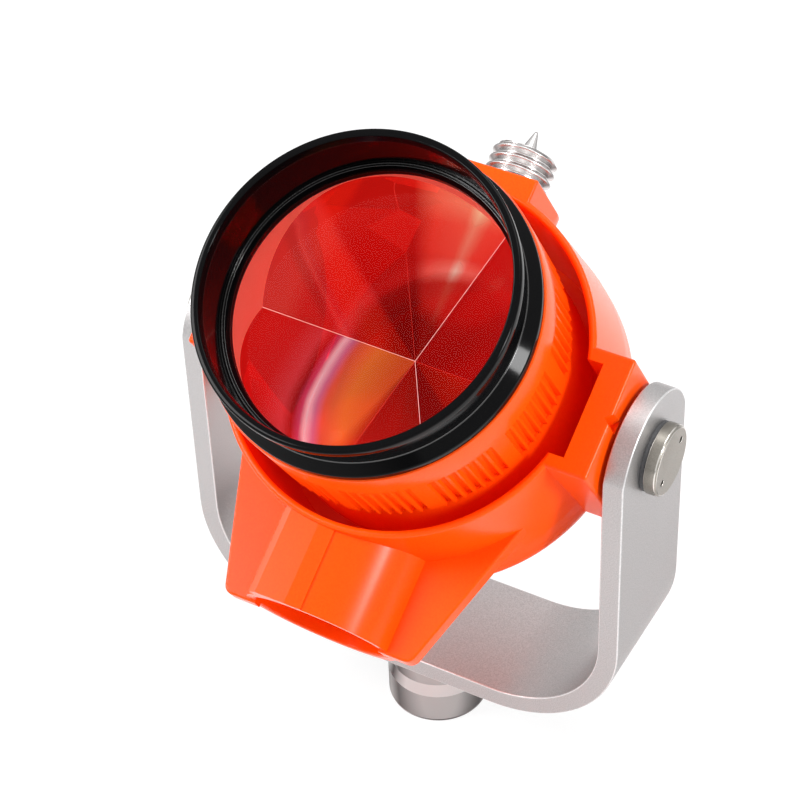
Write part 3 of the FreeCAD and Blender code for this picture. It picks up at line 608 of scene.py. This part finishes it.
def left_facet():
    """Painted reflections: orange inside a pale violet arc, red outside it, and dark towards the lower
    ridge.
    """
    arcs = [
        (0.0, rgb(190, 40, 20)), (0.5, rgb(236, 96, 40)), (0.56, rgb(252, 132, 52)),
        (0.6, rgb(240, 96, 66)), (0.615, rgb(205, 120, 160)), (0.63, rgb(252, 214, 220)),
        (0.64, rgb(176, 70, 110)), (0.655, rgb(140, 10, 10)), (0.675, rgb(222, 60, 66)),
        (0.72, rgb(206, 26, 24)), (0.8, rgb(200, 18, 14))]
    fans = [(0.0, WHITE), (0.7, WHITE), (0.77, (0.32, 0.04, 0.08, 1)), (1.0, (0.4, 0.05, 0.08, 1))]
    return facet_material("facet_left", 0.5, FACING[LEFT], FLAT_ARCS, arcs, fans, PLAIN)


def right_facet():
    """Deep red, with a painted reflection that makes its lower part darker."""
    arcs = [(0.0, rgb(120, 4, 3)), (0.5, rgb(140, 6, 5)), (1.0, rgb(150, 8, 6))]
    fans = [(0.0, (0.4, 0.5, 0.5, 1)), (0.3, (0.5, 0.6, 0.6, 1)), (0.38, WHITE), (1.0, WHITE)]
    return facet_material("facet_right", 0.4, FACING[RIGHT], WIDE_ARCS, arcs, fans, PLAIN)


def between(first, second):
    """The angle between two directions in degrees, from 0 to 180."""
    return abs((first - second + 180) % 360 - 180)


def make_glass():
    """Corner cube with a clear front, mirror-like facets and finely bevelled ridges."""
    shape = from_node("corner_cube")
    front = edge_of("corner_cube", FORWARD)[1] * MM
    ridges = []
    for edge in shape.edges:
        if len(edge.link_faces) == 2:
            first, second = (face.normal.dot(FORWARD) for face in edge.link_faces)
            if first < -0.5 and second < -0.5 and edge.calc_face_angle() > 1.2:
                ridges.append(edge)
    bevelled = bmesh.ops.bevel(shape, geom=ridges, offset=RIDGE_BEVEL * MM, segments=1, affect="EDGES")
    thin = set(bevelled["faces"])

    # The facets lie a little in front of the rubber pads, which touch them in the CAD.
    for vertex in shape.verts:
        if (vertex.co - PIVOT).dot(FORWARD) < front - 1.0 * MM:
            vertex.co += FORWARD * FACET_SHIFT * MM
    for face in shape.faces:
        lean = face.normal.dot(FORWARD)
        if face in thin:
            face.material_index = RIDGE
        elif lean < -0.5:
            out = math.degrees(math.atan2(face.normal.dot(UP), face.normal.dot(SIDE)))
            face.material_index = min(FACING, key=lambda slot: between(out, FACING[slot]))
        elif abs(lean) < 0.2:
            face.material_index = RIM
    materials = [
        MATERIALS["optical_glass"], upper_facet(), left_facet(), right_facet(),
        # The ridges are a pale ground bevel that also gives off light: a painted glow.
        grained("ground_ridge_painted_glow", rgb(250, 225, 220), rgb(255, 240, 236), 0.2, 0.002,
                Roughness=0.6, **painted_glow(rgb(255, 215, 205), 0.7)),
        # The rim's pink tone and the light it gives off are a painted reflection of the orange around it.
        grained("ground_rim_painted_reflection", rgb(226, 84, 70), rgb(240, 108, 94), 0.3, 0.002,
                Roughness=0.5, **painted_glow(rgb(240, 100, 84), 0.4))]
    new_object("corner_cube_cut", shape, materials, "corner_cube", 20)


make_glass()


# ---------------------------------------------------------------- studio
LAMP_TARGET = Vector((0, 0, 0.1))


def area_light(name, place, size, power):
    """A rectangular lamp aimed at the middle of the object."""
    data = bpy.data.lights.new(name, "AREA")
    data.shape = "RECTANGLE"
    data.size, data.size_y = size
    data.energy = power
    lamp = bpy.data.objects.new(name, data)
    lamp.location = place
    aim = LAMP_TARGET - Vector(place)
    lamp.rotation_euler = aim.to_track_quat("-Z", "Y").to_euler()
    bpy.context.scene.collection.objects.link(lamp)


def make_world():
    """White behind the object and in its mirrors and glass, and a softer light on everything else."""
    world = bpy.data.worlds.new("studio")
    bpy.context.scene.world = world
    world.use_nodes = True
    nodes = Nodes(world.node_tree)
    path = nodes.add("ShaderNodeLightPath").outputs
    seen = nodes.math("MAXIMUM", path["Is Camera Ray"], path["Is Glossy Ray"])
    seen = nodes.math("MAXIMUM", seen, path["Is Transmission Ray"])
    white = nodes.add("ShaderNodeBackground", {"Color": WHITE, "Strength": 1.0})
    fill = nodes.add("ShaderNodeBackground", {"Color": WHITE, "Strength": 0.36})
    nodes.add("ShaderNodeOutputWorld", {"Surface": nodes.mix(seen, fill, white).outputs[0]})


def make_floor():
    """A flat square, far wider than the object."""
    mesh = bpy.data.meshes.new("floor")
    half = 30.0
    corners = [(-half, -half, 0), (half, -half, 0), (half, half, 0), (-half, half, 0)]
    mesh.from_pydata(corners, [], [(0, 1, 2, 3)])
    floor = bpy.data.objects.new("floor", mesh)
    bpy.context.scene.collection.objects.link(floor)
    mesh.materials.append(floor_material())


def make_camera():
    """The camera looks down from the front right, rolled a little, with a long lens."""
    azimuth, elevation, roll = (math.radians(angle) for angle in (30.46, 42.37, -2.39))
    distance, aside, above = 611.84 * MM, -6.7 * MM, -4.94 * MM
    level = Vector((math.cos(azimuth), math.sin(azimuth), 0))
    level_share, rise = math.cos(elevation), math.sin(elevation)
    back = Vector((math.sin(azimuth) * level_share, -math.cos(azimuth) * level_share, rise))
    upright = back.cross(level)
    right = math.cos(roll) * level + math.sin(roll) * upright
    top = -math.sin(roll) * level + math.cos(roll) * upright
    data = bpy.data.cameras.new("camera")
    data.sensor_width = 36
    data.lens = 120.97
    data.clip_start = 0.01
    camera = bpy.data.objects.new("camera", data)
    turn = Matrix((right, top, back)).transposed().to_4x4()
    place = PIVOT + back * distance + right * aside + top * above
    camera.matrix_world = Matrix.Translation(place) @ turn
    bpy.context.scene.collection.objects.link(camera)
    bpy.context.scene.camera = camera


make_world()
make_floor()
make_camera()
area_light("key", (-0.75, -0.5, 0.85), (0.55, 0.55), 13)
area_light("side", (1.08, -0.1, 0.72), (0.2, 0.34), 10.5)
area_light("top", (0.15, 0.35, 1.2), (0.7, 0.7), 6)
bpy.context.scene.view_settings.view_transform = "Standard"
